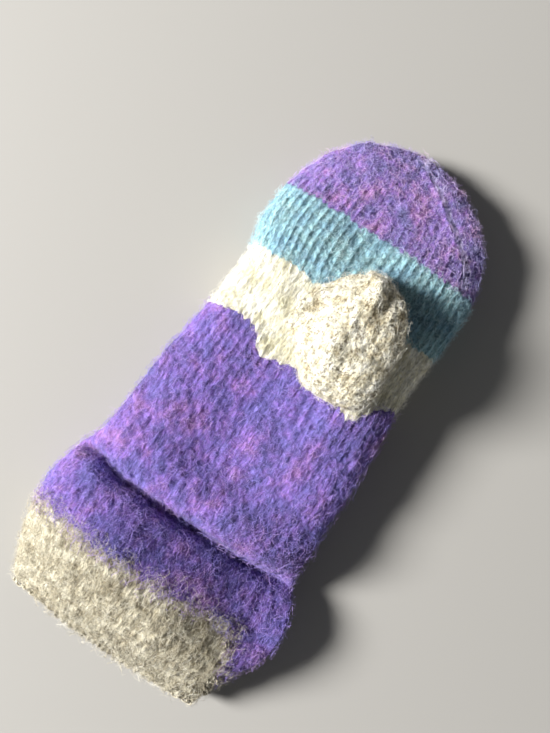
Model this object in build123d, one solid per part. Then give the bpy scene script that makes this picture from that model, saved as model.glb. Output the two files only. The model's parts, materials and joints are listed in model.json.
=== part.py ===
"""One knitted and felted wool mitten, lying palm up with its thumb folded over the palm.

The mitten is knitted in the round from five lengths of yarn, so each stripe is a tube of its own
that was worked on to the last one. Every tube is a hollow wall of felt. The thumb is a second,
smaller tube picked up round a slot in the cream stripe. Loose yarn ends are woven in on the inside.

Frame: +Y runs from the cuff to the fingertips, +X is the wearer's thumb side, +Z is up.
The origin is the middle of the underside. All sizes are in millimetres.
"""

import os
from math import cos, pi, radians, sin

from build123d import *

# Driving dimensions
LENGTH = 290.0  # cast-on edge to fingertip
WALL = 5.0  # felt thickness of the hand and cuff
THUMB_WALL = 4.2
FIT_GAP = 0.2  # half of the running gap between two bodies
YARN_RADIUS = 1.2
YARN_SEAT = 0.7  # room under a woven-in end
SECTION_POINTS = 16  # points round each flattened section
TOP_ROUNDNESS = 2.6  # superellipse powers: 2 is an ellipse, higher is boxier
BASE_ROUNDNESS = 3.0
SINK = 0.6  # how far the round section dips below the flat that it rests on

# Where each yarn begins, measured from the cast-on edge
EDGE_DEPTH = 5.0
CUFF_BAND_END = 43.0
CREASE = 69.0
CREAM_START = 160.0
TEAL_START = 201.0
TIP_START = 236.0
TIP_CLOSURE = 287.5

# Stations: (distance from the cast-on edge, half width, height)
CUFF_STATIONS = [
    (0.0, 56.0, 18.0),
    (12.0, 61.0, 25.5),
    (28.0, 66.0, 33.5),
    (46.0, 69.0, 38.0),
    (60.0, 67.5, 33.0),
    (CREASE, 64.5, 22.5),
]
HAND_STATIONS = [
    (CREASE, 63.0, 22.5),
    (82.0, 60.5, 26.5),
    (104.0, 58.5, 28.5),
    (132.0, 57.5, 29.5),
    (CREAM_START, 55.0, 29.5),
    (182.0, 54.0, 29.0),
    (TEAL_START, 55.5, 28.0),
    (219.0, 57.0, 27.0),
    (TIP_START, 55.5, 25.5),
    (250.0, 52.0, 24.0),
    (264.0, 45.7, 21.5),
    (275.0, 36.5, 18.0),
    (283.0, 25.0, 14.5),
    (TIP_CLOSURE, 13.0, 11.5),
]

# Thumb: it hinges on the far lip of its slot and lies towards the fingertips
THUMB_HINGE_Y = 179.5
THUMB_HINGE_Z = 29.8
THUMB_LIFT = 0.3  # clearance under the thumb
THUMB_PICKUP_END = 7.0  # how far past the hinge the pick-up round reaches
THUMB_CLOSURE = 216.0
THUMB_TIP = 219.0
# (distance from the cast-on edge, centre across, half width, thickness)
THUMB_STATIONS = [
    (THUMB_HINGE_Y, 18.0, 29.0, 18.0),
    (190.0, 16.5, 28.0, 18.3),
    (201.0, 14.5, 24.5, 17.3),
    (210.0, 13.5, 17.0, 15.0),
    (THUMB_CLOSURE, 13.0, 9.0, 11.5),
]
SLOT_MARGIN = 0.6  # room round the thumb where it turns into its slot

HALF_LENGTH = LENGTH / 2
FAR = 400.0  # larger than the mitten, for cutting blocks


def along(distance):
    """The Y of a point that far from the cast-on edge."""
    return distance - HALF_LENGTH


def oval_face(y, centre, half_width, low, high):
    """A flattened oval across the mitten at y, broad underneath and more rounded on top."""
    middle, half_height = (low + high) / 2, (high - low) / 2
    points = []
    for i in range(SECTION_POINTS):
        angle = 2 * pi * (i + 0.5) / SECTION_POINTS
        across, upward = cos(angle), sin(angle)
        power = 2 / (TOP_ROUNDNESS if upward > 0 else BASE_ROUNDNESS)
        x = centre + half_width * abs(across) ** power * (1 if across > 0 else -1)
        z = middle + half_height * abs(upward) ** power * (1 if upward > 0 else -1)
        points.append((x, y, z))
    return Face(Wire(Spline(points, periodic=True)))


def tube_solids(stations, wall, end_wall=0.0):
    """The outer form of a tube and the hollow inside it, as two solids."""
    outer = [oval_face(along(d), 0, half, -SINK, high) for d, half, high in stations]
    inner = [
        oval_face(along(d), 0, half - wall, wall, high - wall)
        for d, half, high in stations
    ]
    outer_solid = loft(outer) & Pos(0, 0, FAR / 2) * Box(FAR, FAR, FAR)
    inner_solid = loft(inner)
    if end_wall:
        last = along(stations[-1][0]) - end_wall
        inner_solid = inner_solid & Pos(0, last - FAR / 2, 0) * Box(FAR, FAR, FAR)
    return outer_solid, inner_solid


def slab(start, end):
    """A block that holds everything between two distances from the cast-on edge."""
    return Pos(0, along((start + end) / 2), 0) * Box(FAR, end - start, FAR)


def thumb_faces(wall):
    """The thumb's sections, drawn in by wall all round."""
    floor = THUMB_HINGE_Z + THUMB_LIFT
    return [
        oval_face(along(d), centre, half - wall, floor + wall, floor + thick - wall)
        for d, centre, half, thick in THUMB_STATIONS
    ]


def thumb_forms():
    """The thumb's outer form and its hollow, each a straight tube with a heel that turns down."""
    hinge = Axis((0, along(THUMB_HINGE_Y), THUMB_HINGE_Z), (1, 0, 0))
    forms = []
    for wall in (0.0, THUMB_WALL):
        faces = thumb_faces(wall)
        heel = revolve(faces[0], axis=hinge, revolution_arc=90)
        forms.append((heel, loft(faces)))
    return forms


def thumb_slot():
    """The hole in the palm that the thumb's heel turns down into."""
    _, centre, half, thick = THUMB_STATIONS[0]
    near = THUMB_HINGE_Y - THUMB_LIFT - thick - SLOT_MARGIN
    far = THUMB_HINGE_Y + SLOT_MARGIN / 2
    width = 2 * (half + SLOT_MARGIN)
    floor = HAND_STATIONS[4][2] / 2  # half way down the hollow
    block = Box(width, far - near, FAR, align=(Align.CENTER, Align.CENTER, Align.MIN))
    return Pos(centre, along((near + far) / 2), floor) * block


def closure(y, centre, half_width, low, high, depth):
    """The last stitches drawn up into a small dome at the end of a tube."""
    middle, half_height = (low + high) / 2, (high - low) / 2
    faces = []
    for turn in (0, 30, 55, 75):
        share = cos(radians(turn))
        faces.append(
            oval_face(
                y + depth * sin(radians(turn)),
                centre,
                half_width * share,
                middle - half_height * share,
                middle + half_height * share,
            )
        )
    return loft(faces)


def yarn_end(x, start, reach, side, floor=WALL):
    """A yarn end lying on the inside of the back, run in along its length with two soft turns."""
    z = floor + YARN_SEAT + YARN_RADIUS
    bend = x + 4.0 * side
    route = [
        (x, along(start), z),
        (x, along(start + reach * 0.3), z),
        (bend, along(start + reach * 0.65), z),
        (bend, along(start + reach), z),
    ]
    path = FilletPolyline(*route, radius=9.0)
    return sweep(Plane(origin=path @ 0, z_dir=path % 0) * Circle(YARN_RADIUS), path=path)


def cuff_parts():
    """The cast-on edge, the oatmeal band and the purple roll of the cuff."""
    outer, inner = tube_solids(CUFF_STATIONS, WALL)
    wall = outer - inner
    return {
        "cast_on_edge": wall & slab(0, EDGE_DEPTH),
        "cuff_band_oatmeal": wall & slab(EDGE_DEPTH, CUFF_BAND_END),
        "cuff_roll_purple": wall & slab(CUFF_BAND_END, CREASE - FIT_GAP),
    }


def hand_parts():
    """The palm, the two stripes and the fingertip, with the slot for the thumb."""
    outer, inner = tube_solids(HAND_STATIONS, WALL, end_wall=WALL)
    wall = outer - inner
    open_wall = wall - thumb_slot()
    last_distance, last_half, last_high = HAND_STATIONS[-1]
    cap = closure(
        along(last_distance), 0, last_half, 0.6, last_high, LENGTH - last_distance
    )
    reach = cap.bounding_box().max.Y
    cap = Pos(0, HALF_LENGTH - reach, 0) * cap
    return {
        "palm_purple": open_wall & slab(CREASE + FIT_GAP, CREAM_START),
        "hand_stripe_cream": open_wall & slab(CREAM_START, TEAL_START),
        "hand_stripe_teal": open_wall & slab(TEAL_START, TIP_START - FIT_GAP),
        "fingertip_purple": wall & slab(TIP_START + FIT_GAP, last_distance),
        "fingertip_closure": cap - Pos(0, along(last_distance) - FAR / 2, 0) * Box(FAR, FAR, FAR),
    }


def thumb_parts():
    """The thumb's pick-up round with its heel, its tube, and its drawn-up tip."""
    (heel, tube), (heel_hollow, tube_hollow) = thumb_forms()
    tube_hollow = tube_hollow & slab(0, THUMB_CLOSURE - THUMB_WALL)
    tube_wall = tube - tube_hollow
    split = THUMB_HINGE_Y + THUMB_PICKUP_END
    pickup = (heel - heel_hollow) + (tube_wall & slab(0, split))
    _, centre, half, thick = THUMB_STATIONS[-1]
    floor = THUMB_HINGE_Z + THUMB_LIFT
    cap = closure(
        along(THUMB_CLOSURE), centre, half, floor, floor + thick, THUMB_TIP - THUMB_CLOSURE
    )
    return {
        "thumb_pickup_round": pickup,
        "thumb_tube": tube_wall & slab(split, THUMB_CLOSURE),
        "thumb_closure": cap,
    }


def yarn_ends():
    """The two ends of each length of yarn, woven in on the inside."""
    thumb_floor = THUMB_HINGE_Z + THUMB_LIFT + THUMB_WALL - 0.2
    # name: (across, where it starts, how long its run is, which way it bends, what it lies on)
    runs = {
        "end_oatmeal_cast_on": (-18.0, 7.0, 33.0, 1, WALL),
        "end_oatmeal_finish": (4.0, 9.0, 32.0, 1, WALL),
        "end_purple_start": (18.0, 45.0, 22.0, -1, WALL),
        "end_purple_finish": (-22.0, 114.0, 44.0, 1, WALL),
        "end_cream_start": (-10.0, 162.0, 36.0, -1, WALL),
        "end_cream_finish": (6.0, 163.0, 36.0, 1, WALL),
        "end_teal_start": (-4.0, 203.0, 29.0, -1, WALL),
        "end_teal_finish": (12.0, 203.0, 30.0, 1, WALL),
        "end_tip_start": (-12.0, 239.0, 34.0, 1, WALL),
        "end_tip_closing": (4.0, 242.0, 34.0, -1, WALL),
        "end_thumb_start": (8.0, 188.0, 20.0, 1, thumb_floor),
        "end_thumb_closing": (21.0, 190.0, 20.0, -1, thumb_floor),
    }
    return {name: yarn_end(*run) for name, run in runs.items()}


os.makedirs("parts", exist_ok=True)
for name, shape in {**cuff_parts(), **hand_parts(), **thumb_parts(), **yarn_ends()}.items():
    export_step(shape, f"parts/{name}.step")
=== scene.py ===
"""One thick wool mitten, knitted in the round in stripes and fulled to felt.

It lies on its back with the palm up and the thumb folded over the palm. The cuff has puffed into a
roll, with a deep crease between it and the palm. Lengths in the making are in millimetres, and the
mitten's own distances are measured from the cast-on edge towards the fingertips.
"""
import json
import math

import bmesh
import bpy
import numpy as np
from mathutils import Matrix, Vector

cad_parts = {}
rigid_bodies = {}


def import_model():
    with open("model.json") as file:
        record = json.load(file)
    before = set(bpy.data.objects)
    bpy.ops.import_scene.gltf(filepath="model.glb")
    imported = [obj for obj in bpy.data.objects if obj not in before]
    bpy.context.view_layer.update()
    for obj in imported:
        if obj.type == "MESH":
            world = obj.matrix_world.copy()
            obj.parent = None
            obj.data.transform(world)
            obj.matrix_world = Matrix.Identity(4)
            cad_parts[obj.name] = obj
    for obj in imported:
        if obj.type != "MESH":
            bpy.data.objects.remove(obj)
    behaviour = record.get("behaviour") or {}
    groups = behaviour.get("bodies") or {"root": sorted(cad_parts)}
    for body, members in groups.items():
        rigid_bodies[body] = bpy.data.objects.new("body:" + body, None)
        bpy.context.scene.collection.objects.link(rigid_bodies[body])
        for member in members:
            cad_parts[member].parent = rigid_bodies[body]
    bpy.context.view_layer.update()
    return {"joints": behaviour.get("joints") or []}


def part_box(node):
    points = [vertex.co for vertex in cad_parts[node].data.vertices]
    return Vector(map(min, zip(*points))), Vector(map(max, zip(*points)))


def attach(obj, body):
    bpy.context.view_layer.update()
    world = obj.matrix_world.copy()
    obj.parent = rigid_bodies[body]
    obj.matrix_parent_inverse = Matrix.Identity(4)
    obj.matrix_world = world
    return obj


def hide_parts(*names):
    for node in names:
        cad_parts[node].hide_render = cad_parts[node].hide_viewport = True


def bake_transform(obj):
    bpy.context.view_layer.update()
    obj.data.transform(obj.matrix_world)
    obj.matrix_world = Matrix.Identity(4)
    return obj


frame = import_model()


# ---- The floor, the light and the camera --------------------------------------------------------
# A plain pale floor under the mitten, one soft light low on its left, and a weak sky.
MM = 0.001
CAST_ON_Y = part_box("cast_on_edge")[0].y  # the cast-on edge, in metres from the origin
FLOOR_HALF_WIDTH = 3.0  # in metres
FLOOR_GAP = 0.3 * MM  # the floor's clearance below the felt that rests on it
KEY_DISTANCE = 2.6  # in metres
EYE_HEIGHT = 297.0
EYE_AZIMUTH = math.radians(34)
EYE_ELEVATION = math.radians(86)
LOOK_AT = Vector((-7.5 * MM, CAST_ON_Y + 158.9 * MM, 0))


def srgb(hex_colour):
    """An sRGB hex colour as a linear red, green, blue and alpha."""
    channels = [int(hex_colour[i:i + 2], 16) / 255 for i in (1, 3, 5)]
    return [c / 12.92 if c <= 0.04045 else ((c + 0.055) / 1.055) ** 2.4 for c in channels] + [1]


def add_node(tree, kind, inputs=None, **settings):
    """A node with its settings, and its inputs set or linked by name or number."""
    node = tree.nodes.new(kind)
    for key, value in settings.items():
        setattr(node, key, value)
    for key, value in (inputs or {}).items():
        if isinstance(value, bpy.types.NodeSocket):
            tree.links.new(value, node.inputs[key])
        else:
            node.inputs[key].default_value = value
    return node


def new_material(name):
    """An empty node material and its output."""
    material = bpy.data.materials.new(name)
    material.use_nodes = True
    material.node_tree.nodes.clear()
    return material, add_node(material.node_tree, "ShaderNodeOutputMaterial")


def new_piece(name, bm, material=None, collection=None):
    """A bmesh as an object, in the scene or in the collection that is given."""
    mesh = bpy.data.meshes.new(name)
    bm.to_mesh(mesh)
    bm.free()
    mesh.shade_smooth()
    if material:
        mesh.materials.append(material)
    piece = bpy.data.objects.new(name, mesh)
    (collection or bpy.context.collection).objects.link(piece)
    return piece


paper, output = new_material("pale matte paper")
matte = add_node(paper.node_tree, "ShaderNodeBsdfPrincipled",
                 {"Base Color": srgb("#A3A19D"), "Roughness": 0.9})
paper.node_tree.links.new(matte.outputs[0], output.inputs[0])
bm = bmesh.new()
bmesh.ops.create_grid(bm, x_segments=1, y_segments=1, size=FLOOR_HALF_WIDTH)
bmesh.ops.translate(bm, verts=bm.verts, vec=(0, 0, -FLOOR_GAP))
new_piece("floor", bm, paper)

# The key stands off the back of the cuff's left corner, so the thumb's shadow falls to its right.
KEY_TOWARDS = Vector((-0.80, -0.35, 0.47)).normalized()
key = bpy.data.lights.new("key", "AREA")
key.shape = "DISK"
key.size = 0.8
key.energy = 216
key.color = (1.0, 0.985, 0.96)
key_lamp = bpy.data.objects.new("key", key)
key_lamp.location = KEY_TOWARDS * KEY_DISTANCE
key_lamp.rotation_euler = KEY_TOWARDS.to_track_quat("Z", "Y").to_euler()
bpy.context.collection.objects.link(key_lamp)

# The room is pale all round at eye height and dim overhead.
sky = bpy.data.worlds.new("sky")
sky.use_nodes = True
way = add_node(sky.node_tree, "ShaderNodeTexCoord")
upward = add_node(sky.node_tree, "ShaderNodeSeparateXYZ", {0: way.outputs["Generated"]})
dimming = add_node(sky.node_tree, "ShaderNodeMapRange",
                   {"Value": upward.outputs[2], "From Min": 0.02, "From Max": 0.9, "To Min": 0.5,
                    "To Max": 0.03}, interpolation_type="SMOOTHSTEP")
room = sky.node_tree.nodes["Background"]
room.inputs["Color"].default_value = (0.94, 0.96, 1.0, 1)
sky.node_tree.links.new(dimming.outputs[0], room.inputs["Strength"])
bpy.context.scene.world = sky
bpy.context.scene.view_settings.view_transform = "Standard"

camera = bpy.data.cameras.new("eye")
camera.lens = 28
camera.sensor_width = 36
camera.clip_start = 0.01
eye = bpy.data.objects.new("eye", camera)
back = Vector((
    math.sin(EYE_AZIMUTH) * math.cos(EYE_ELEVATION),
    -math.cos(EYE_AZIMUTH) * math.cos(EYE_ELEVATION),
    math.sin(EYE_ELEVATION),
))
eye.location = LOOK_AT + back * (EYE_HEIGHT * MM / math.sin(EYE_ELEVATION))
eye.rotation_euler = back.to_track_quat("Z", "Y").to_euler()
bpy.context.collection.objects.link(eye)
bpy.context.scene.camera = eye


# ---- The palm: blue-violet yarn, from the wrist crease to the cream stripe ----------------------
# Bulky heathered wool knitted in the round, fulled until the stitches blur into felt. Its wales
# show only near the cream stripe. The whole hand's form and its stitches start here.
WALES = 56  # columns of stitches round the hand
ROW = 4.0  # height of one round
WALL = 4.8
CLOSING_WALL = 2.4  # where the last stitches are drawn up
RIM = 2.4  # how far in the cast-on edge starts to round off
GIRTH_RADIUS = 42  # the hand's radius if it were round
SCALLOP = 1.6  # how far each stitch reaches past the gap beside it
# Where each part of the mitten starts or ends, in rounds from the cast-on edge
OATMEAL_END_ROUND, CREASE_ROUND, CREAM_ROUND, TEAL_ROUND = 11.25, 17.25, 41.25, 50.6
TIP_ROUND, CLOSING_ROUND, LAST_ROUND = 59.4, 72.35, 73.0
CREASE = CREASE_ROUND * ROW
ROUND_OFF, FAR_END = 217.0, 292.0  # where the plan starts to round off, and where it closes
LAST_SECTION = FAR_END - 0.02  # just short of the point where the sections shrink to nothing
HOLLOW_END = FAR_END - 4
CREASE_BITE, CREASE_WIDTH = 8.5, 4.0
ROLL_LEAN = 4.2  # how far the roll leans over the crease
ROLL_CURL = 4.5  # how far the roll's two ends curl over it
CUFF_TILT = 0.4  # how much lower the cuff is at its right end, as a share of its height
PALM_DISH = 6.5  # how deep the palm sinks between the crease and the thumb
VIOLET_CREEP = 24  # how far the violet has crept down the cuff's right end
HOLLOW_MIDDLE = np.array([0, 0, 13.0])


def smooth(low, high, value):
    """0 below low, 1 above high, and a smooth step between them."""
    t = np.clip((value - low) / (high - low), 0, 1)
    return t * t * (3 - 2 * t)


def hump(value, centre, width):
    """A soft hump, 1 at its centre."""
    return np.exp(-((value - centre) / width) ** 2)


def curve_through(points, value):
    """The value of a smooth curve through a few (distance, size) points."""
    x, y = np.array(points, float).T
    slope = np.gradient(y, x)
    i = np.clip(np.searchsorted(x, value) - 1, 0, len(x) - 2)
    h = x[i + 1] - x[i]
    t = np.clip((value - x[i]) / h, 0, 1)
    start, leaving = 2 * t ** 3 - 3 * t ** 2 + 1, t ** 3 - 2 * t ** 2 + t
    finish, arriving = -2 * t ** 3 + 3 * t ** 2, t ** 3 - t ** 2
    return start * y[i] + leaving * h * slope[i] + finish * y[i + 1] + arriving * h * slope[i + 1]


def wool_noise(points, size, seed):
    """Smooth random lumps of the given size in mm, from -1 to 1, at an array of points."""
    lattice = np.random.default_rng(seed).uniform(-1, 1, (32, 32, 32))
    place = points / size + 100.5
    cell = np.floor(place).astype(int)
    t = place - cell
    t = t * t * (3 - 2 * t)
    total = 0
    for dx in (0, 1):
        for dy in (0, 1):
            for dz in (0, 1):
                share = abs(1 - dx - t[..., 0]) * abs(1 - dy - t[..., 1]) * abs(1 - dz - t[..., 2])
                corner = (cell + (dx, dy, dz)) % 32
                total = total + share * lattice[corner[..., 0], corner[..., 1], corner[..., 2]]
    return total


# How far each side of the middle line reaches, and how high the top is, along the mitten.
LEFT_SIDE = [(0, 56), (8, 58.9), (22, 63.2), (35, 65.8), (49, 67.6), (61, 68), (69.5, 65.9),
             (82, 61), (102, 57), (131, 55), (150, 53.4), (168, 51.4), (178, 50.8), (192, 49.8),
             (204, 51.5), (217, 54), (250, 53.5), (292, 55.5)]
RIGHT_SIDE = [(0, 52), (13, 55), (26, 60.7), (37, 66), (49, 68.2), (57, 67), (64, 64.2), (74, 58.8),
              (88, 57), (105, 57.3), (122, 58.2), (137, 57), (154, 56.2), (168, 54.4), (181, 54.6),
              (197, 55.8), (217, 56.8), (250, 57), (292, 54)]
TOP = [(0, 17), (12, 24.5), (26, 32), (40, 37), (48, 38), (56, 35), (63, 28.5), (68.5, 21.5),
       (73, 24.5), (84, 27.5), (104, 28.5), (132, 29.5), (160, 29.5), (182, 28.5), (201, 27.8),
       (217, 27), (292, 27)]


def section_at(y):
    """The middle, half width, bottom and top of the hand across the mitten at y."""
    left, right = curve_through(LEFT_SIDE, y), curve_through(RIGHT_SIDE, y)
    t = np.clip((y - ROUND_OFF) / (FAR_END - ROUND_OFF), 0, 1)
    plan = np.maximum(1 - t ** 3.2, 0) ** 0.72
    side = np.maximum(1 - t ** 3.0, 0) ** (1 / 2.1)
    low = 4.5 * smooth(250, FAR_END, y)
    high = low + (curve_through(TOP, y) - low) * side
    return (right - left) / 2, (right + left) / 2 * plan, low, high


def oval(angle, half_width, low, high, crown=2.5):
    """A point on a flattened oval. Its underside is boxy. Its top is an ellipse at a crown of 2."""
    across, upward = np.cos(angle), np.sin(angle)
    power = np.where(upward > 0, 2 / crown, 2 / 3.2)
    x = half_width * np.sign(across) * np.abs(across) ** power
    z = (low + high) / 2 + (high - low) / 2 * np.sign(upward) * np.abs(upward) ** power
    return x, z


def even_angles(section, stations):
    """For each station, the oval's angle at each share of the way round, counted in even stitches.

    The count starts under the back's middle line and goes up the right side.
    """
    angle = np.linspace(-math.pi / 2, 1.5 * math.pi, 1441)
    share = np.linspace(0, 1, 701)
    table = []
    for station in stations:
        _, half, low, high = section(np.array([station]))
        x, z = oval(angle, half, low, high)
        run = np.concatenate([[0], np.cumsum(np.hypot(np.diff(x), np.diff(z)))])
        table.append(np.interp(share, run / run[-1], angle))
    return np.array(table)


def angle_at(table, first, last, y, u):
    """The oval's angle at a share u of the way round the section at y."""
    row = (np.clip(y, first, last) - first) / (last - first) * (len(table) - 1)
    column = np.mod(u, 1) * (table.shape[1] - 1)
    i = np.clip(row.astype(int), 0, len(table) - 2)
    j = np.clip(column.astype(int), 0, table.shape[1] - 2)
    a, b = row - i, column - j
    near = table[i, j] * (1 - b) + table[i, j + 1] * b
    far = table[i + 1, j] * (1 - b) + table[i + 1, j + 1] * b
    return near * (1 - a) + far * a


hand_angles = even_angles(section_at, np.linspace(0, LAST_SECTION, 291))


def felted(y):
    """How far the stitches have closed up, from 0, all showing, to 1, all felt."""
    return curve_through([(0, 0.8), (45, 0.86), (62, 0.95), (112, 0.9), (130, 0.74), (148, 0.36),
                          (162, 0.4), (172, 0.72), (190, 0.78), (200, 0.5), (208, 0.08), (232, 0.1),
                          (243, 0.3), (262, 0.8), (292, 0.95)], y)


# How far the thumb has pulled the cream stripe's lower edge out of line, by share of the way round.
PULLED = [(0, 1), (0.2, 2), (0.25, 5), (0.3, 6), (0.34, -2), (0.37, -8.5), (0.4, -6.5), (0.43, -5.5),
          (0.5, -3.5), (0.53, -5.5), (0.557, -7.5), (0.592, 0.8), (0.66, 4), (0.75, 1), (1, 1)]


def stitch_place(rounds, u):
    """How far along the mitten a stitch lies, where u is its share of the way round.

    Each row is lightly scalloped, and not quite even.
    """
    turn = 2 * math.pi * u
    loose = smooth(0.5, 2.5, rounds) * (1 - 0.9 * smooth(64, 71, rounds))
    scallop = -SCALLOP / 2 * np.cos(turn * WALES) * loose * (1 - 0.6 * felted(rounds * ROW))
    around = np.stack([np.cos(turn) * GIRTH_RADIUS, np.sin(turn) * GIRTH_RADIUS, rounds * ROW], -1)
    uneven = (wool_noise(around, 6.0, seed=3) * 1.2 + wool_noise(around, 2.6, seed=6) * 0.9) * loose
    blurred = wool_noise(around, 5.0, seed=4) * 3.0 + wool_noise(around, 2.0, seed=5) * 1.6
    # the felt blurs the border of the oatmeal and the violet, and at the cuff's right end the violet
    # has crept down almost to the cast-on edge
    round_the_end = smooth(0.19, 0.25, u) * (1 - smooth(0.27, 0.35, u))
    crept = -VIOLET_CREEP * round_the_end * smooth(0, OATMEAL_END_ROUND, rounds) * (
        1 - smooth(OATMEAL_END_ROUND, CREASE_ROUND, rounds))
    pulled = curve_through(PULLED, np.mod(u, 1)) * hump(rounds, CREAM_ROUND, 5.5)
    return (rounds * ROW + scallop + uneven + crept + pulled
            + blurred * hump(rounds, OATMEAL_END_ROUND, 2.0))


def hand_form(rounds, u, inset=0.0):
    """The hand's smooth form, drawn in by inset."""
    y = np.clip(stitch_place(rounds, u), 0, LAST_SECTION)
    rim = np.clip((RIM - y) / RIM, 0, 1)
    inset = inset + (1 - 2 * inset / WALL) * RIM * (1 - np.sqrt(1 - rim ** 2))
    middle, half, low, high = section_at(y)
    angle = angle_at(hand_angles, 0, LAST_SECTION, y, u)
    x, z = oval(angle, np.maximum(half - inset, 0.3), low + inset,
                np.maximum(high - inset, low + inset + 0.3), 2.1 + 0.9 * smooth(55, 100, y))
    x = x + middle
    # the cuff tilts, the crease bites deeper except near its two ends, and the palm is dished
    middle_reach = smooth(-66, -50, x) * (1 - smooth(36, 60, x))
    upper = smooth(0.3, 0.9, (z - low) / np.maximum(high - low, 1))
    on_the_cuff = smooth(18, 50, y) * (1 - smooth(60, 84, y))
    z = z * (1 - CUFF_TILT * smooth(-45, 60, x) * on_the_cuff * upper)
    z = z - CREASE_BITE * hump(y, CREASE + 0.3, CREASE_WIDTH) * middle_reach * upper
    in_the_palm = smooth(82, 104, y) * (1 - smooth(136, 166, y))
    z = z - PALM_DISH * hump(x, 0, 32) * in_the_palm * upper
    lean = ROLL_LEAN * hump(y, CREASE - 6.0, 5.5) * upper * middle_reach
    curl = ROLL_CURL * smooth(34, 60, np.abs(x)) * hump(y, CREASE, 13) * upper
    return np.stack([x, y + lean + curl, z], -1)


# The line of decreases up the palm side of the fingertips: how far right it lies, along the mitten.
RIDGE_LINE = [(236, 50), (251, 43), (257, 36.5), (263, 29.5), (271, 20), (278, 10.5), (284, 0)]


def hand_relief(rounds, u, place):
    """How far the felt stands out from the smooth form: cords of stitches, lumps and grain."""
    x, y = place[..., 0], place[..., 1]
    open_knit = 1 - felted(y)
    wale = np.mod(u * WALES + 0.12 * wool_noise(place, 5, seed=15), 1)
    cord = (1 - np.abs(2 * wale - 1) ** 2.2) ** 0.75
    head = np.abs(np.sin(math.pi * (rounds + 0.5 * (wale - 0.5)))) ** 0.8
    knit = open_knit * (0.7 * cord + 0.6 * cord * head - 0.95)
    lumps = wool_noise(place, 34, seed=11) * 1.0 + wool_noise(place, 13, seed=12) * 0.7
    grain = (wool_noise(place * (1, 0.7, 1), 2.6, seed=13) * (0.35 + 0.35 * felted(y))
             + wool_noise(place, 1.4, seed=14) * 0.3)
    aside = x - curve_through(RIDGE_LINE, y)
    ridge = 1.8 * hump(aside, 0, 2.0) - 0.6 * hump(aside, -4.5, 2.0)
    ridge = ridge * smooth(234, 244, y) * (1 - smooth(280, 286, y)) * smooth(10, 15, place[..., 2])
    chain = (0.8 * np.abs(np.sin(math.pi * u * WALES)) - 0.4) * (1 - smooth(1.5, 5, y))
    return knit + lumps + grain + ridge + chain


def stand_out(form, relief, rounds, u):
    """The form moved out along its own normal by its relief, and the relief."""
    place = form(rounds, u)
    along = form(rounds + 0.05, u) - form(rounds - 0.05, u)
    sideways = form(rounds, u + 0.0015) - form(rounds, u - 0.0015)
    normal = np.cross(sideways, along)
    normal /= np.maximum(np.linalg.norm(normal, axis=-1, keepdims=True), 1e-9)
    height = relief(rounds, u, place)
    return place + normal * height[..., None], height


def hand_outside(rounds, u):
    """The outer face of the hand's felt."""
    return stand_out(hand_form, hand_relief, rounds, u)


def hand_inside(rounds, u):
    """The inner face: the purl side, rows of low bumps across the wales."""
    place = hand_form(rounds, u, WALL)
    place[:, 1] = np.minimum(place[:, 1], HOLLOW_END)
    purl = np.abs(np.sin(math.pi * rounds)) * (0.6 + 0.4 * np.sin(2 * math.pi * u * WALES)) * 0.8
    inwards = HOLLOW_MIDDLE - place
    inwards[:, 1] = 0
    inwards /= np.maximum(np.linalg.norm(inwards, axis=1, keepdims=True), 1e-6)
    height = purl - 0.5 + wool_noise(place, 3.0, seed=21) * 0.35
    return place + inwards * height[:, None], height


# The mesh's rows in each round, outside and inside, and its columns in each wale
OUTER_ROWS, INNER_ROWS, PER_WALE = 6, 2.5, 8
MERGE = 0.0002 * MM  # closes the seams where the grid's edges meet, and nothing else


def shag_and_wisps(points, rounds, outer):
    """How thickly the felt's own fibres grow, and where stray fibres of a second shade lie.

    The stray ones cross the border of the oatmeal and the violet, and follow the decreases' ridge.
    Along the ridge they are grown pale, as a painted highlight.
    """
    x, y, z = points.T
    shag = np.where(outer, smooth(0.8, 4, z) * (0.35 + 0.65 * smooth(5, 14, z)), 0.12 * (y < 60))
    # painted highlight: pale stray fibres follow the decreases' ridge so that it looks lit
    ridge = hump(x - curve_through(RIDGE_LINE, y), -0.5, 1.3) * (smooth(236, 244, y) * (z > 12))
    return shag, (hump(rounds, OATMEAL_END_ROUND, 0.9) + ridge) * outer * shag


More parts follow.
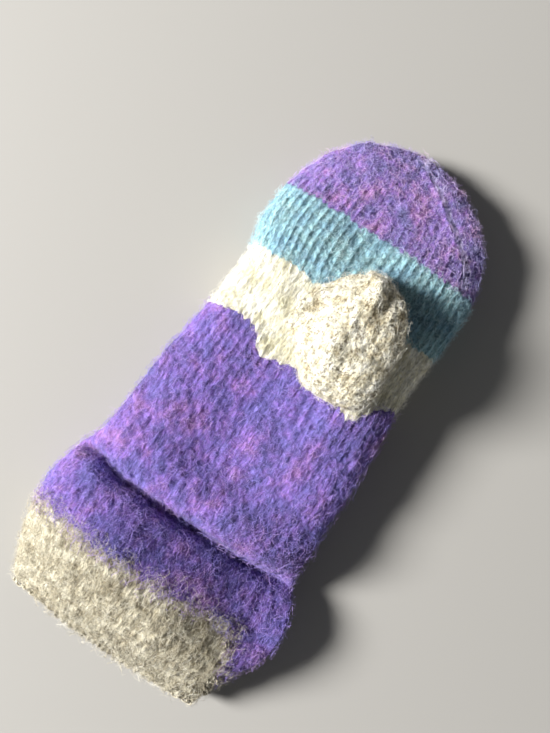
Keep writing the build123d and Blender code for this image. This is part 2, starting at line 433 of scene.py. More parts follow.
def cloth_tube(name, first, last, outside, inside, wales=WALES, closed=False, cut=None):
    """A closed wall of knitted cloth from one round to another, with UVs in wales and rounds.

    outside and inside turn rounds and shares of the way round into points in mm. One grid makes the
    wall: it runs out along the outer skin, back along the inner one, and joins up both ways. A
    closed tube's far ends are drawn up to a point. cut says which faces leave an opening.
    """
    bm = bmesh.new()
    stitches = bm.loops.layers.uv.new("stitches")
    layers = [bm.verts.layers.float.new(key) for key in ("relief", "shag", "wisps")]
    out_rows, in_rows = (max(3, round((last - first) * per_round))
                         for per_round in (OUTER_ROWS, INNER_ROWS))
    all_rows = out_rows + in_rows + 2
    grid = bmesh.ops.create_grid(bm, x_segments=wales * PER_WALE, y_segments=all_rows,
                                 size=0.5)["verts"]
    flat = np.array([v.co for v in grid]) + 0.5
    row = np.rint(flat[:, 1] * all_rows).astype(int)
    outer = (row <= out_rows) | (row == all_rows)
    share = np.where(row <= out_rows, row / out_rows,
                     np.maximum(1 - (row - out_rows - 1) / in_rows, 0))
    if closed:
        share = 1 - (1 - share) ** 1.8
    rounds = first + (last - first) * share
    points, height = np.empty((len(grid), 3)), np.empty(len(grid))
    for skin, chosen in ((outside, outer), (inside, ~outer)):
        points[chosen], height[chosen] = skin(rounds[chosen], flat[chosen, 0])
    points[:, 2] = np.maximum(points[:, 2], 0)
    shag, wisps = shag_and_wisps(points, rounds, outer)
    points[:, 1] += CAST_ON_Y / MM
    place_in_knit = dict(zip(grid, zip(flat[:, 0] * wales, rounds)))
    for face in bm.faces:
        for loop in face.loops:
            loop[stitches].uv = place_in_knit[loop.vert]
    if closed:
        for far in (out_rows, out_rows + 1):
            points[row == far] = points[row == far].mean(axis=0)
        row_of = dict(zip(grid, row))
        between = [f for f in bm.faces if {row_of[v] for v in f.verts} == {out_rows, out_rows + 1}]
        bmesh.ops.delete(bm, geom=between, context="FACES")
    for v, point, *values in zip(grid, points * MM, height, shag, wisps):
        v.co = point
        for layer, value in zip(layers, values):
            v[layer] = value
    bmesh.ops.remove_doubles(bm, verts=bm.verts, dist=MERGE)
    if cut:
        lost = [f for f in bm.faces if cut(f.calc_center_median() / MM)]
        bmesh.ops.delete(bm, geom=lost, context="FACES")
        lips = [e for e in bm.edges if e.is_boundary]
        bmesh.ops.bridge_loops(bm, edges=lips)
    bmesh.ops.recalc_face_normals(bm, faces=bm.faces)
    return new_piece(name, bm)


FIBRE_MM, SPECK_MM = 1.0, 2.0  # about two fibres across, and about two specks


def fulled_wool(name, shades, patch_mm, fleck, fleck_share, painted_dip_shade):
    """Knitted wool shrunk to felt: four shades of heather in soft patches, crossed by fine fibres.

    fleck is the odd fibre of another colour. The last argument is how dark the painted shade
    in the dips between stitches is.
    """
    material, output = new_material(name)
    tree = material.node_tree
    place = add_node(tree, "ShaderNodeTexCoord")
    patches = add_node(tree, "ShaderNodeTexNoise",
                       {"Vector": place.outputs["Object"], "Scale": 1000 / patch_mm, "Detail": 4.0,
                        "Roughness": 0.72})
    heather = add_node(tree, "ShaderNodeValToRGB", {"Fac": patches.outputs["Fac"]})
    heather.color_ramp.elements.new(0.47)
    heather.color_ramp.elements.new(0.54)
    for stop, at, shade in zip(heather.color_ramp.elements, (0.34, 0.45, 0.55, 0.66), shades):
        stop.position, stop.color = at, srgb(shade)

    # Fibres 0.5 mm wide and some 3 mm long lie three ways across each other. Real ones are 0.03 mm
    # wide, too fine to show.
    strands = []
    for turn in (0.2, 1.25, 2.3):
        lie = add_node(tree, "ShaderNodeMapping",
                       {"Vector": place.outputs["Object"], "Rotation": (0, 0, turn),
                        "Scale": (1.0, 0.2, 0.5)})
        strand = add_node(tree, "ShaderNodeTexNoise",
                          {"Vector": lie.outputs[0], "Scale": 1000 / FIBRE_MM, "Detail": 1.0,
                           "Distortion": 1.2})
        strands.append(strand.outputs["Fac"])
    first = add_node(tree, "ShaderNodeMath", {0: strands[0], 1: strands[1]}, operation="MAXIMUM")
    fibres = add_node(tree, "ShaderNodeMath", {0: first.outputs[0], 1: strands[2]},
                      operation="MAXIMUM")
    # The fibres are coloured lighter than the heather and the gaps between them darker. This is
    # partly their own paler tone and partly painted light and shade, since it follows the pattern of
    # their bump.
    fibre_tone_and_light = add_node(tree, "ShaderNodeMapRange",
                   {"Value": fibres.outputs[0], "From Min": 0.5, "From Max": 0.76, "To Min": 0.62,
                    "To Max": 1.4})
    toned = add_node(tree, "ShaderNodeMix",
                     {"Factor": 1.0, 6: heather.outputs["Color"], 7: (1, 1, 1, 1)},
                     data_type="RGBA", blend_type="MULTIPLY")
    tree.links.new(fibre_tone_and_light.outputs[0], toned.inputs[7])

    specks = add_node(tree, "ShaderNodeTexNoise",
                      {"Vector": place.outputs["Object"], "Scale": 1000 / SPECK_MM, "Detail": 2.0,
                       "Distortion": 2.0})
    speck_edge = 0.5 + 0.24 * (1 - fleck_share)
    speck = add_node(tree, "ShaderNodeMapRange",
                     {"Value": specks.outputs["Fac"], "From Min": speck_edge,
                      "From Max": speck_edge + 0.06, "To Max": 0.75})
    flecked = add_node(tree, "ShaderNodeMix",
                       {"Factor": speck.outputs[0], 6: toned.outputs[2], 7: srgb(fleck)},
                       data_type="RGBA")

    # painted shade: the lower the felt lies below its smooth form, in the dips between cords and
    # stitch heads, the darker it is coloured
    relief = add_node(tree, "ShaderNodeAttribute", attribute_name="relief")
    shade = add_node(tree, "ShaderNodeMapRange",
                     {"Value": relief.outputs["Fac"], "From Min": -1.6, "From Max": 0.0,
                      "To Min": 1 - painted_dip_shade, "To Max": 1.0})
    shaded = add_node(tree, "ShaderNodeMix",
                      {"Factor": 1.0, 6: flecked.outputs[2], 7: (1, 1, 1, 1)},
                      data_type="RGBA", blend_type="MULTIPLY")
    tree.links.new(shade.outputs[0], shaded.inputs[7])

    fibre_bump = add_node(tree, "ShaderNodeBump",
                          {"Strength": 1.0, "Distance": 1.1 * MM, "Height": fibres.outputs[0]})
    wool = add_node(tree, "ShaderNodeBsdfPrincipled",
                    {"Base Color": shaded.outputs[2], "Roughness": 0.93, "Sheen Weight": 0.2,
                     "Sheen Roughness": 0.4, "Specular IOR Level": 0.2,
                     "Normal": fibre_bump.outputs[0]})
    tree.links.new(wool.outputs[0], output.inputs[0])
    return material


def wool_hair(name, shade):
    """One loose fibre's own plain colour. It is too thin to show anything but its shade."""
    material, output = new_material(name)
    hair = add_node(material.node_tree, "ShaderNodeBsdfPrincipled",
                    {"Base Color": srgb(shade), "Roughness": 0.75, "Sheen Weight": 0.2})
    material.node_tree.links.new(hair.outputs[0], output.inputs[0])
    return material


def draw_strand(bm, route, radius, sides):
    """A round strand along a route of points in mm, closed to a point at both ends."""
    route = [Vector(point) * MM for point in route]
    ring = bmesh.ops.create_circle(bm, segments=sides, radius=radius * MM)["verts"]
    first_edges = edges = list({e for v in ring for e in v.link_edges})
    turned = Matrix.Identity(4)
    for i in range(1, len(route) - 1):
        if i > 1:
            grown = bmesh.ops.extrude_edge_only(bm, edges=edges)["geom"]
            ring = [g for g in grown if isinstance(g, bmesh.types.BMVert)]
            edges = [g for g in grown if isinstance(g, bmesh.types.BMEdge)]
        heading = (route[i + 1] - route[i - 1]).to_track_quat("Z", "X").to_matrix().to_4x4()
        place = Matrix.Translation(route[i]) @ heading
        bmesh.ops.transform(bm, matrix=place @ turned.inverted(), verts=ring)
        turned = place
    for point, rim in ((route[0], first_edges), (route[-1], edges)):
        tip = bm.verts.new(point)
        for edge in rim:
            bm.faces.new((edge.verts[0], edge.verts[1], tip))


def hair_route(rng, kind):
    """The points of one fibre over a flat patch of cloth, in mm: lying, standing or a curl."""
    if kind == "lying":
        length, side, rise = rng.uniform(2.2, 4.6), rng.uniform(-0.9, 0.9), rng.uniform(0.25, 0.7)
        return [(-length / 2, 0, -0.3), (-length / 5, side, rise),
                (length / 4, side * 0.8, rise * 0.9), (length / 2, 0, -0.3)]
    if kind == "standing":
        reach, drift = rng.uniform(1.0, 2.6), rng.uniform(0.4, 2.0)
        return [(0, 0, -0.3), (drift * 0.15, 0.2, reach * 0.4),
                (drift * 0.55, -0.2, reach * 0.8), (drift, 0.3, reach)]
    length, side, rise = rng.uniform(5, 10), rng.uniform(1.5, 3.2), rng.uniform(0.8, 2.4)
    return [(-length / 2, 0, -0.2), (-length / 4, side, rise), (0, side * 0.9, rise * 0.8),
            (length / 4, -side * 0.2, rise), (length / 2, side * 0.3, rise * 1.4)]


# Real wool fibres are 0.03 mm thick. These are drawn several times as thick, so that they show.
HAIR_THICKNESS = 0.11
HAIR_KINDS = ("lying",) * 6 + ("standing",) * 4 + ("curl",)


def hair_bundle(name, shades, seed):
    """A collection of three-sided fibres, one of each kind in each shade."""
    rng = np.random.default_rng(seed)
    bundle = bpy.data.collections.new(name + "_hairs")
    for i, shade in enumerate(shades):
        colour = wool_hair(f"{name} hair {i + 1}", shade)
        for j, kind in enumerate(HAIR_KINDS):
            bm = bmesh.new()
            draw_strand(bm, hair_route(rng, kind), HAIR_THICKNESS / 2, 3)
            bmesh.ops.recalc_face_normals(bm, faces=bm.faces)
            new_piece(f"{name}_{i:02d}{j:02d}", bm, colour, bundle)
    return bundle


def hair_growth(name, bundle, shade_count, per_mm2, patch_mm, seed, where):
    """Geometry nodes that scatter a bundle's fibres over a cloth, turned and sized at random."""
    tree = bpy.data.node_groups.new(name + "_growth", "GeometryNodeTree")
    tree.interface.new_socket("Geometry", in_out="INPUT", socket_type="NodeSocketGeometry")
    tree.interface.new_socket("Geometry", in_out="OUTPUT", socket_type="NodeSocketGeometry")
    cloth_in = add_node(tree, "NodeGroupInput")
    thick = add_node(tree, "GeometryNodeInputNamedAttribute", {"Name": where}, data_type="FLOAT")
    density = add_node(tree, "ShaderNodeMath", {0: thick.outputs[0], 1: per_mm2 / MM ** 2},
                       operation="MULTIPLY")
    roots = add_node(tree, "GeometryNodeDistributePointsOnFaces",
                     {"Mesh": cloth_in.outputs[0], "Density": density.outputs[0], "Seed": seed},
                     distribute_method="RANDOM")
    spin = add_node(tree, "FunctionNodeRandomValue", {2: 0.0, 3: 2 * math.pi, "Seed": seed + 1})
    turn = add_node(tree, "FunctionNodeAxisAngleToRotation",
                    {"Axis": (0, 0, 1), "Angle": spin.outputs[1]})
    aim = add_node(tree, "FunctionNodeRotateRotation",
                   {"Rotation": roots.outputs["Rotation"], "Rotate By": turn.outputs[0]},
                   rotation_space="LOCAL")
    size = add_node(tree, "FunctionNodeRandomValue", {2: 0.6, 3: 1.3, "Seed": seed + 2})

    # neighbours share a shade, as the yarn's own patches do
    position = add_node(tree, "GeometryNodeInputPosition")
    patches = add_node(tree, "ShaderNodeTexNoise",
                       {"Vector": position.outputs[0], "Scale": 1000 / patch_mm, "Detail": 4.0,
                        "Roughness": 0.72})
    mean = add_node(tree, "ShaderNodeMapRange",
                    {"Value": patches.outputs["Fac"], "From Min": 0.34, "From Max": 0.66,
                     "To Min": -0.2, "To Max": 0.7})
    stray = add_node(tree, "FunctionNodeRandomValue", {2: 0.0, 3: 0.5, "Seed": seed + 3})
    pick = add_node(tree, "ShaderNodeMath", {0: mean.outputs[0], 1: stray.outputs[1]})
    pick = add_node(tree, "ShaderNodeMath", {0: pick.outputs[0], 1: float(shade_count)},
                    operation="MULTIPLY")
    whole = add_node(tree, "ShaderNodeMath", {0: pick.outputs[0]}, operation="FLOOR")
    shade = add_node(tree, "ShaderNodeClamp", {"Value": whole.outputs[0], "Max": shade_count - 1.0})
    kind = add_node(tree, "FunctionNodeRandomValue",
                    {4: 0, 5: len(HAIR_KINDS) - 1, "Seed": seed + 4}, data_type="INT")
    index = add_node(tree, "ShaderNodeMath", {0: shade.outputs[0], 1: float(len(HAIR_KINDS))},
                     operation="MULTIPLY")
    index = add_node(tree, "ShaderNodeMath", {0: index.outputs[0], 1: kind.outputs[2]})

    shapes = add_node(tree, "GeometryNodeCollectionInfo",
                      {"Collection": bundle, "Separate Children": True, "Reset Children": True})
    hairs = add_node(tree, "GeometryNodeInstanceOnPoints",
                     {"Points": roots.outputs["Points"], "Instance": shapes.outputs[0],
                      "Pick Instance": True, "Instance Index": index.outputs[0],
                      "Rotation": aim.outputs[0], "Scale": size.outputs[1]})
    as_mesh = add_node(tree, "GeometryNodeRealizeInstances", {0: hairs.outputs[0]})
    add_node(tree, "NodeGroupOutput", {0: as_mesh.outputs[0]})
    return tree


def grow_hairs(name, cloth, shades, per_mm2, patch_mm, seed, where="shag"):
    """The felt's own fibres, standing and lying over a piece of cloth, as one mesh.

    where is the vertex attribute that says how thickly they grow.
    """
    bundle = hair_bundle(name, shades, seed)
    fuzz = bpy.data.objects.new(name, cloth.data.copy())
    bpy.context.collection.objects.link(fuzz)
    growth = fuzz.modifiers.new("growth", "NODES")
    growth.node_group = hair_growth(name, bundle, len(shades), per_mm2, patch_mm, seed, where)
    grown = fuzz.evaluated_get(bpy.context.evaluated_depsgraph_get())
    mesh = bpy.data.meshes.new_from_object(grown)
    fuzz.modifiers.clear()
    fuzz.data = mesh
    points = np.empty(len(mesh.vertices) * 3)
    mesh.vertices.foreach_get("co", points)
    points[2::3] = np.maximum(points[2::3], 0)  # none reaches through the floor
    mesh.vertices.foreach_set("co", points)
    for shape in list(bundle.objects):
        bpy.data.objects.remove(shape)
    bpy.data.collections.remove(bundle)
    return fuzz


PALM_SHADES = ("#6E66AA", "#7A69B2", "#8A6BBA", "#9A70B2")
PALM_HAIR = ("#8A80D2", "#9C88DA", "#AF93DF", "#C29EDA")
PALM_PATCH = 17  # about two patches of heather across
palm_wool = fulled_wool("fulled blue-violet wool", PALM_SHADES, PALM_PATCH,
                        fleck="#6C84BE", fleck_share=0.2, painted_dip_shade=0.6)
palm = cloth_tube("palm_knit", CREASE_ROUND, CREAM_ROUND, hand_outside, hand_inside)
palm_fuzz = grow_hairs("palm_fuzz", palm, PALM_HAIR, 0.88, PALM_PATCH, seed=31)
palm.data.materials.append(palm_wool)
HAND_SIDE_OF_WRIST, CUFF_SIDE_OF_WRIST = 80, 58  # two distances either side of the wrist crease
wrist = dict(start=(0, CAST_ON_Y + HAND_SIDE_OF_WRIST * MM, 0),
             end=(0, CAST_ON_Y + CUFF_SIDE_OF_WRIST * MM, 0))
for piece in (palm, palm_fuzz):
    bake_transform(piece)
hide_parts("palm_purple")


# ---- The cuff's roll: the same blue-violet yarn, before the crease ------------------------------
# The cuff has puffed up and leans over the crease. It is fulled hardest, so no stitch shows, and
# some oatmeal fibres have felted in along its border with the band.
OATMEAL_HAIR = ("#B3AA94", "#C6BEA9", "#D9D3C0", "#EAE6D8")
OATMEAL_PATCH = 5
roll = cloth_tube("cuff_roll_knit", OATMEAL_END_ROUND, CREASE_ROUND, hand_outside, hand_inside)
roll_fuzz = grow_hairs("cuff_roll_fuzz", roll, PALM_HAIR, 1.1, PALM_PATCH, seed=32)
roll_wisps = grow_hairs("cuff_roll_wisps", roll, OATMEAL_HAIR, 1.6, OATMEAL_PATCH, seed=51,
                        where="wisps")
roll.data.materials.append(palm_wool)
for piece in (roll, roll_fuzz, roll_wisps):
    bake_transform(piece)
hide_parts("cuff_roll_purple")


# ---- The cuff's band and its cast-on edge: oatmeal yarn -----------------------------------------
# Undyed grey and cream fleece spun together, so the felt is grained like rice. The edge is the
# cast-on round, a row of small loops that the first round was knitted into.
OATMEAL_SHADES = ("#8F866F", "#AAA28C", "#BFB8A2", "#D2CCB8")
EDGE_ROUNDS = 1.25
oatmeal_wool = fulled_wool("fulled oatmeal wool", OATMEAL_SHADES, OATMEAL_PATCH,
                           fleck="#655A48", fleck_share=0.38, painted_dip_shade=0.5)
band = cloth_tube("cuff_band_knit", EDGE_ROUNDS, OATMEAL_END_ROUND, hand_outside, hand_inside)
band_fuzz = grow_hairs("cuff_band_fuzz", band, OATMEAL_HAIR, 1.15, OATMEAL_PATCH, seed=33)
band_wisps = grow_hairs("cuff_band_wisps", band, PALM_HAIR, 1.6, PALM_PATCH, seed=52,
                        where="wisps")
edge = cloth_tube("cast_on_knit", 0.0, EDGE_ROUNDS, hand_outside, hand_inside)
edge_fuzz = grow_hairs("cast_on_fuzz", edge, OATMEAL_HAIR, 1.3, OATMEAL_PATCH, seed=34)
for piece in (band, edge):
    piece.data.materials.append(oatmeal_wool)

# A few of the cast-on loops were left slack, most of them near the two corners. Each is placed by
# its share of the way round.
SLACK_LOOPS = (0.268, 0.279, 0.30, 0.41, 0.57, 0.69, 0.708, 0.721, 0.735)
LOOP_RADIUS = 0.55
LOOP_FOOT = 0.15  # in rounds from the cast-on edge
bm = bmesh.new()
rng = np.random.default_rng(61)
for share in SLACK_LOOPS:
    foot = hand_form(np.array([LOOP_FOOT]), np.array([share]))[0] + (0, CAST_ON_Y / MM, 0)
    wide, long, lift = rng.uniform(0.8, 1.6), rng.uniform(0.8, 2.0), rng.uniform(-1.2, 0.2)
    arc = [math.radians(a) for a in range(-60, 241, 25)]
    loop = [foot + (wide * math.cos(a), 0.6 - long * (1 + math.sin(a)) / 2, lift * math.sin(a))
            for a in arc]
    draw_strand(bm, loop, LOOP_RADIUS, 6)
bmesh.ops.recalc_face_normals(bm, faces=bm.faces)
loops = new_piece("cast_on_loops", bm, wool_hair("oatmeal yarn", "#BDB6A2"))
for piece in (band, band_fuzz, band_wisps, edge, edge_fuzz, loops):
    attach(piece, "cuff")
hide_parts("cuff_band_oatmeal")
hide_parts("cast_on_edge")


# ---- The cream stripe: the round that the thumb comes out of ------------------------------------
# Undyed cream wool. Its stitches are still open, and the thumb's slot is left in its palm side.
joint_places = {j["name"]: j["pos_m"] for j in frame["joints"]}
HINGE_Y = joint_places["thumb_lift"][1] / MM - CAST_ON_Y / MM
HINGE_Z = joint_places["thumb_lift"][2] / MM
SLOT_MIDDLE, SLOT_HALF_WIDTH, SLOT_HALF_DEPTH = 15.0, 19.0, 5.0
SLOT_BEHIND_HINGE = 8.0


def in_thumb_slot(point):
    """Whether a point of the cream stripe lies where the thumb's slot is."""
    across = (point.x - SLOT_MIDDLE) / SLOT_HALF_WIDTH
    along = (point.y - CAST_ON_Y / MM - HINGE_Y + SLOT_BEHIND_HINGE) / SLOT_HALF_DEPTH
    return point.z > 14 and across ** 2 + along ** 2 < 1


CREAM_SHADES = ("#E2DBB8", "#EEE9CE", "#F4F0DC", "#F8F6E9")
CREAM_HAIR = ("#EFEBD9", "#F6F3E6", "#FBF9F1", "#FFFFFB")
CREAM_PATCH = 9
cream_wool = fulled_wool("undyed cream wool", CREAM_SHADES, CREAM_PATCH,
                         fleck="#CDBE8A", fleck_share=0.12, painted_dip_shade=0.32)
cream = cloth_tube("cream_stripe_knit", CREAM_ROUND, TEAL_ROUND, hand_outside, hand_inside,
                   cut=in_thumb_slot)
cream_fuzz = grow_hairs("cream_stripe_fuzz", cream, CREAM_HAIR, 0.95, CREAM_PATCH, seed=35)
cream.data.materials.append(cream_wool)
for piece in (cream, cream_fuzz):
    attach(piece, "hand")
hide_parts("hand_stripe_cream")


# ---- The teal stripe, over the fingers ----------------------------------------------------------
# Dusty blue-green wool, fulled least: each column of stitches stands up like a cord.
TEAL_SHADES = ("#86B0C6", "#92BCCC", "#9EC8D0", "#AED4D8")
TEAL_HAIR = ("#A2C6D8", "#B0D2DE", "#BEDEE4", "#D0E9EC")
TEAL_PATCH = 14
teal_wool = fulled_wool("dusty teal wool", TEAL_SHADES, TEAL_PATCH,
                        fleck="#6F98C2", fleck_share=0.12, painted_dip_shade=0.45)
teal = cloth_tube("teal_stripe_knit", TEAL_ROUND, TIP_ROUND, hand_outside, hand_inside)
teal_fuzz = grow_hairs("teal_stripe_fuzz", teal, TEAL_HAIR, 1.0, TEAL_PATCH, seed=36)
teal.data.materials.append(teal_wool)
FOLD_START, FOLD_END = 224, 248  # two distances either side of the teal stripe's border with the fingertips
fold = dict(start=(0, CAST_ON_Y + FOLD_START * MM, 0), end=(0, CAST_ON_Y + FOLD_END * MM, 0))
for piece in (teal, teal_fuzz):
    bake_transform(piece)
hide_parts("hand_stripe_teal")


# ---- The fingertips: red-violet yarn, with its last stitches drawn up ---------------------------
# Heathered wool fulled to a smooth halo. A ridge of decreases runs up the palm side to the top.
# Paler fibres along it are a painted highlight, so that the ridge looks lit.
TIP_SHADES = ("#726AA4", "#806CB0", "#906EB8", "#A272B2")
TIP_HAIR = ("#A29ED6", "#B4A4DE", "#C8B0E6", "#DAB6DE")
# painted highlight: the very pale fibres grown along the ridge of decreases
RIDGE_HIGHLIGHT_HAIR = ("#D4CCF6", "#E8DAFA")
TIP_PATCH = 13
tip_wool = fulled_wool("fulled red-violet wool", TIP_SHADES, TIP_PATCH,
                       fleck="#B8709E", fleck_share=0.2, painted_dip_shade=0.45)
tip = cloth_tube("fingertip_knit", TIP_ROUND, CLOSING_ROUND, hand_outside, hand_inside)
tip_fuzz = grow_hairs("fingertip_fuzz", tip, TIP_HAIR, 1.25, TIP_PATCH, seed=37)
# the ridge's painted highlight, pale fibres grown thickly along it
tip_ridge_highlight = grow_hairs("fingertip_wisps", tip, RIDGE_HIGHLIGHT_HAIR, 7.0, TIP_PATCH, seed=53,
                       where="wisps")


def closing_inside(rounds, u):
    """The inner face of the drawn-up stitches."""
    return hand_form(rounds, u, CLOSING_WALL), 0 * rounds


closing = cloth_tube("fingertip_closure_knit", CLOSING_ROUND, LAST_ROUND, hand_outside,
                     closing_inside, closed=True)
closing_fuzz = grow_hairs("fingertip_closure_fuzz", closing, TIP_HAIR, 1.25, TIP_PATCH, seed=38)
for piece in (tip, closing):
    piece.data.materials.append(tip_wool)
for piece in (tip, tip_fuzz, tip_ridge_highlight):
    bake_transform(piece)
for piece in (closing, closing_fuzz):
    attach(piece, "fingertips")
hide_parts("fingertip_purple")
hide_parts("fingertip_closure")


# ---- The thumb: flecked yarn, picked up round the slot and drawn up at its tip ------------------
# Cream fleece flecked with grey and brown. It lies on the palm, thin at its left where it comes
# out of the hand, and its far end slants.
THUMB_WALES = 26
THUMB_WALL, THUMB_CLOSING_WALL = 4.2, 2.0
THUMB_DEPTH = 18.0
THUMB_TIP = 222.0
THUMB_TAPER = 195.0  # where its plan starts to narrow
THUMB_LAST_SECTION = THUMB_TIP - 0.02
THUMB_SCALLOP = 1.8
THUMB_GAP = 0.3  # the clearance that the hinge gives its underside
THUMB_SEAT, THUMB_DROOP = 0.6, 1.4  # how far the thumb sinks at its root, and then towards its tip
THIN_SIDE = 0.16  # how thick its left side is, as a share of its depth
HEEL_REACH = 1.25  # how far the heel bulges behind the hinge, as a share of the thumb's height
HEEL_ROUNDS = THUMB_DEPTH * math.pi / 2 / ROW  # the quarter turn down into the slot
HEEL_TUCK = 1.6  # the rounds hidden below it
THUMB_ROUNDS = (THUMB_TIP - HINGE_Y) / ROW
THUMB_PICKUP_ROUND, THUMB_CLOSING_ROUND = 1.75, THUMB_ROUNDS - 0.6
THUMB_MIDDLE = [(170, 12.5), (180, 12.5), (190, 12.4), (200, 12.4), (210, 13.4), (217, 13),
                (222, 12)]
THUMB_HALF = [(170, 26.5), (180, 26.6), (190, 25.4), (200, 24.4), (222, 24.4)]


def thumb_section(y):
    """The middle, half width, underside and thickness of the thumb across the mitten at y."""
    t = np.clip((y - THUMB_TAPER) / (THUMB_TIP - THUMB_TAPER), 0, 1)
    plan = np.maximum(1 - t ** 1.7, 0) ** 0.8
    side = np.maximum(1 - t ** 3.4, 0) ** (1 / 2.2)
    middle, half = curve_through(THUMB_MIDDLE, y), curve_through(THUMB_HALF, y) * plan
    return middle, half, 0 * y, THUMB_DEPTH * side


thumb_angles = even_angles(thumb_section, np.linspace(HINGE_Y, THUMB_LAST_SECTION, 80))


def thumb_form(rounds, u, inset=0.0):
    """The thumb's smooth form: straight over the palm, and turned down into the slot behind."""
    scallop = THUMB_SCALLOP / 2 * np.cos(2 * math.pi * u * THUMB_WALES)
    reach = rounds * ROW + scallop * (1 - smooth(THUMB_ROUNDS - 3, THUMB_ROUNDS - 1, rounds))
    y = np.clip(HINGE_Y + np.maximum(reach, 0), HINGE_Y, THUMB_LAST_SECTION)
    middle, half, low, high = thumb_section(y)
    angle = angle_at(thumb_angles, HINGE_Y, THUMB_LAST_SECTION, y, u)
    x, lift = oval(angle, np.maximum(half - inset, 0.3), low + inset,
                   np.maximum(high - inset, low + inset + 0.3))
    slim = THIN_SIDE + (1 - THIN_SIDE) * smooth(-1.02, 0.0, x / np.maximum(half, 1))
    lift = THUMB_GAP + lift * slim
    turn = np.clip(-reach, 0, None) / THUMB_DEPTH
    y = y - HEEL_REACH * lift * np.sin(turn)
    droop = THUMB_DROOP * smooth(HINGE_Y, THUMB_TIP, y)
    z = HINGE_Z - THUMB_SEAT + lift * np.cos(turn) - droop
    return np.stack([x + middle, y, z], -1)


def thumb_relief(rounds, u, place):
    """Knobbly felt with faint columns, and a fold that the drawn-up stitches leave at the tip."""
    wale = np.mod(u * THUMB_WALES, 1)
    x, y = place[..., 0], place[..., 1]
    cord = np.sqrt(np.maximum(1 - (2 * wale - 1) ** 2, 0))
    head = np.abs(np.sin(math.pi * (rounds + 0.4 * (wale - 0.5)))) ** 0.7
    knobs = wool_noise(place * (1, 0.8, 1), 2.4, seed=41) * 0.6 + wool_noise(place, 8, seed=42) * 0.8
    fold_line = 20.5 - 8.5 * smooth(210, 220, y)
    tip_fold = 2.0 * hump(x, fold_line, 2.4) - 1.8 * hump(x, fold_line - 5, 2.2)
    grain = wool_noise(place, 1.4, seed=44) * 0.3
    return 0.15 * cord + 0.25 * cord * head - 0.25 + knobs + grain + tip_fold * smooth(194, 204, y)


def thumb_outside(rounds, u):
    """The outer face of the thumb's felt."""
    return stand_out(thumb_form, thumb_relief, rounds, u)


def thumb_inside(rounds, u):
    """The inner face of the thumb's felt, closed a little short of its tip."""
    place = thumb_form(rounds, u, THUMB_WALL)
    place[:, 1] = np.minimum(place[:, 1], THUMB_TIP - THUMB_WALL)
    return place, wool_noise(place, 3.0, seed=43) * 0.2


def thumb_closing_inside(rounds, u):
    """The inner face of the thumb's drawn-up stitches."""
    return thumb_form(rounds, u, THUMB_CLOSING_WALL), 0 * rounds


THUMB_SHADES = ("#A5997C", "#DBD3B8", "#EEE9D5", "#F7F4E8")
THUMB_HAIR = ("#B4A98E", "#E6E0CC", "#F8F5E9", "#FFFEF8")
THUMB_PATCH = 5.5
thumb_wool = fulled_wool("flecked cream wool", THUMB_SHADES, THUMB_PATCH,
                         fleck="#5F5038", fleck_share=0.88, painted_dip_shade=0.5)
heel = cloth_tube("thumb_heel_knit", -HEEL_ROUNDS - HEEL_TUCK, THUMB_PICKUP_ROUND,
                  thumb_outside, thumb_inside, wales=THUMB_WALES)
thumb = cloth_tube("thumb_knit", THUMB_PICKUP_ROUND, THUMB_CLOSING_ROUND, thumb_outside,
                   thumb_inside, wales=THUMB_WALES)
thumb_end = cloth_tube("thumb_closure_knit", THUMB_CLOSING_ROUND, THUMB_ROUNDS, thumb_outside,
                       thumb_closing_inside, wales=THUMB_WALES, closed=True)
heel_fuzz = grow_hairs("thumb_heel_fuzz", heel, THUMB_HAIR, 0.7, THUMB_PATCH, seed=44)
thumb_fuzz = grow_hairs("thumb_fuzz", thumb, THUMB_HAIR, 0.8, THUMB_PATCH, seed=45)
thumb_end_fuzz = grow_hairs("thumb_closure_fuzz", thumb_end, THUMB_HAIR, 0.8, THUMB_PATCH, seed=46)
for piece in (heel, heel_fuzz):
    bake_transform(piece)
for piece in (thumb, thumb_fuzz, thumb_end, thumb_end_fuzz):
    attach(piece, "thumb")
for piece in (heel, thumb, thumb_end):
    piece.data.materials.append(thumb_wool)
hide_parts("thumb_pickup_round")
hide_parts("thumb_tube")
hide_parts("thumb_closure")


# ---- The yarn ends, woven in on the inside ------------------------------------------------------
# Two ends of each length of yarn, two plies twisted together. Each lies along the inside of the
# back, or of the thumb's underside, with a soft bend where it was run through the purl bumps.
YARN_RADIUS, PLY_RADIUS, TWIST_PITCH = 1.2, 0.64, 5.5
PLY_SEAT = 0.85 * PLY_RADIUS  # the plies press into each other a little
YARN_STEP = 0.7  # from one point of a ply to the next
PLY_FIBRE_MM = 0.8  # about two fibres across, drawn far coarser than real ones so that they show


def plied(name, shade):
    """The unfelted yarn: smoother than the felt, with painted shade between its fibres."""
    material, output = new_material(name)
    tree = material.node_tree
    place = add_node(tree, "ShaderNodeTexCoord")
    fibres = add_node(tree, "ShaderNodeTexNoise",
                      {"Vector": place.outputs["Object"], "Scale": 1000 / PLY_FIBRE_MM,
                       "Detail": 2.0})
    # painted shade: where the fibres' bump is low, in the gaps between them, the yarn is coloured
    # darker
    tone = add_node(tree, "ShaderNodeValToRGB", {"Fac": fibres.outputs["Fac"]})
    dark, light = tone.color_ramp.elements
    dark.position, light.position = 0.35, 0.65
    dark.color = [c * 0.55 for c in srgb(shade)[:3]] + [1]
    light.color = srgb(shade)
    bump = add_node(tree, "ShaderNodeBump",
                    {"Strength": 0.8, "Distance": 0.3 * MM, "Height": fibres.outputs["Fac"]})
    wool = add_node(tree, "ShaderNodeBsdfPrincipled",
                    {"Base Color": tone.outputs[0], "Roughness": 0.85, "Sheen Weight": 0.3,
                     "Normal": bump.outputs[0]})
    tree.links.new(wool.outputs[0], output.inputs[0])
    return material


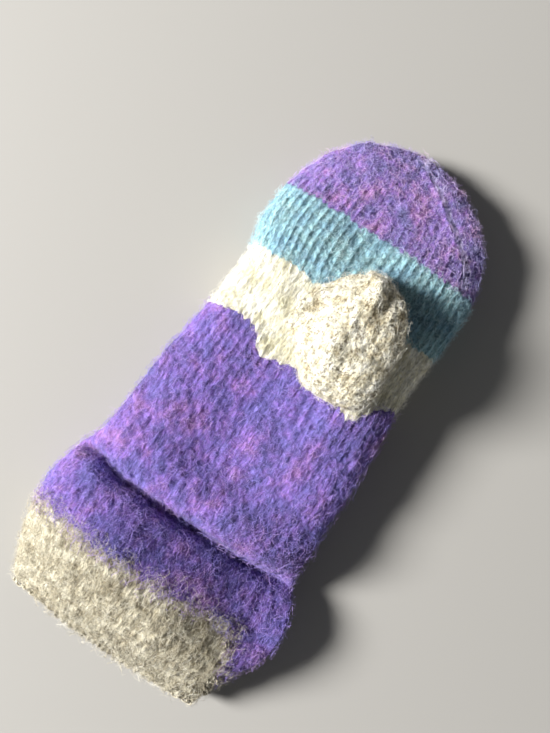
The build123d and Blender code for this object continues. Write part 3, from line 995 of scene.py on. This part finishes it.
def woven_in(node, bends_right, yarn, body=None, blend=None):
    """A two-ply yarn end that lies where the CAD's node says."""
    low, high = [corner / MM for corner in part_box(node)]
    left, right = low.x + YARN_RADIUS, high.x - YARN_RADIUS
    first, last = (left, right) if bends_right else (right, left)
    bm = bmesh.new()
    for ply in (0, math.pi):
        route = []
        for y in np.arange(low.y, high.y, YARN_STEP):
            bent = float(smooth(0.3, 0.65, (y - low.y) / (high.y - low.y)))
            twist = ply + 2 * math.pi * y / TWIST_PITCH
            route.append((first + (last - first) * bent + PLY_SEAT * math.cos(twist), y,
                          (low.z + high.z) / 2 + PLY_SEAT * math.sin(twist)))
        draw_strand(bm, route, PLY_RADIUS, 6)
    bmesh.ops.recalc_face_normals(bm, faces=bm.faces)
    piece = new_piece(node + "_yarn", bm, yarn)
    if blend:
        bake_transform(piece)
    else:
        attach(piece, body)
    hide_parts(node)
    return piece


at_wrist, at_fold = ("hand", "cuff", wrist), ("hand", "fingertips", fold)
oatmeal_yarn = plied("plied oatmeal yarn", "#CFC9BA")
for node, bends_right in (("end_oatmeal_cast_on", True), ("end_oatmeal_finish", True)):
    woven_in(node, bends_right, oatmeal_yarn, body="cuff")
purple_yarn = plied("plied blue-violet yarn", "#8F7CC0")
woven_in("end_purple_start", False, purple_yarn, blend=at_wrist)
woven_in("end_purple_finish", True, purple_yarn, body="hand")
cream_yarn = plied("plied cream yarn", "#F1EDDA")
for node, bends_right in (("end_cream_start", False), ("end_cream_finish", True)):
    woven_in(node, bends_right, cream_yarn, body="hand")
teal_yarn = plied("plied teal yarn", "#86B7C2")
for node, bends_right in (("end_teal_start", False), ("end_teal_finish", True)):
    woven_in(node, bends_right, teal_yarn, blend=at_fold)
violet_yarn = plied("plied red-violet yarn", "#9A78B6")
for node, bends_right in (("end_tip_start", True), ("end_tip_closing", False)):
    woven_in(node, bends_right, violet_yarn, blend=at_fold)
flecked_yarn = plied("plied flecked yarn", "#DCD5BF")
for node, bends_right in (("end_thumb_start", True), ("end_thumb_closing", False)):
    woven_in(node, bends_right, flecked_yarn, body="thumb")
